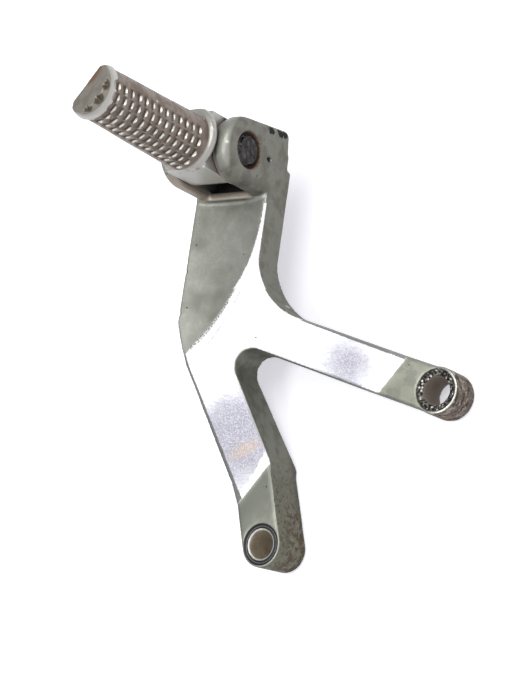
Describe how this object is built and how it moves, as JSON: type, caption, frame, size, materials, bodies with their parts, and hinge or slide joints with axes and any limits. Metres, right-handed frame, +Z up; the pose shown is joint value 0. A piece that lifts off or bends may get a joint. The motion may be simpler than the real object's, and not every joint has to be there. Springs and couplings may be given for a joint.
{
  "type": "motorcycle folding footrest hanger",
  "caption": "Cast two-armed hanger, joggled from its bolt bosses out to a clevis that carries a folding footpeg with a scaled tread, a pin, a clip and a ball detent",
  "frame": {"origin": "Centre of the upper bolt hole, on the boss face that meets the frame", "axes": "Z up the hanger, from the clevis towards the upper bolt; X along the machine with the side bolt at minus X; minus Y outboard, the way the lowered peg points"},
  "size_m": [0.1022, 0.1015, 0.1442],
  "materials": {
    "cast_alloy": "satin, worn",
    "tread_alloy": "grimy cast",
    "dark_steel": "blackened",
    "black_spring_steel": "black",
    "rusty_steel": "rust-stained",
    "hard_steel": "polished",
    "spring_wire": "plain"
  },
  "bodies": {
    "hanger": {"bracket": "cast_alloy", "pivot_pin": "dark_steel", "retaining_clip": "black_spring_steel", "detent_plate": "rusty_steel"},
    "peg": {"footpeg": "tread_alloy", "detent_ball": "hard_steel", "detent_spring": "spring_wire"}
  },
  "joints": [
    {"name": "peg_fold", "type": "hinge", "parent": "hanger", "child": "peg", "pos_m": [0.0222, -0.04, -0.1229], "axis": [-1, 0, 0], "range_deg": [0, 90]}
  ]
}
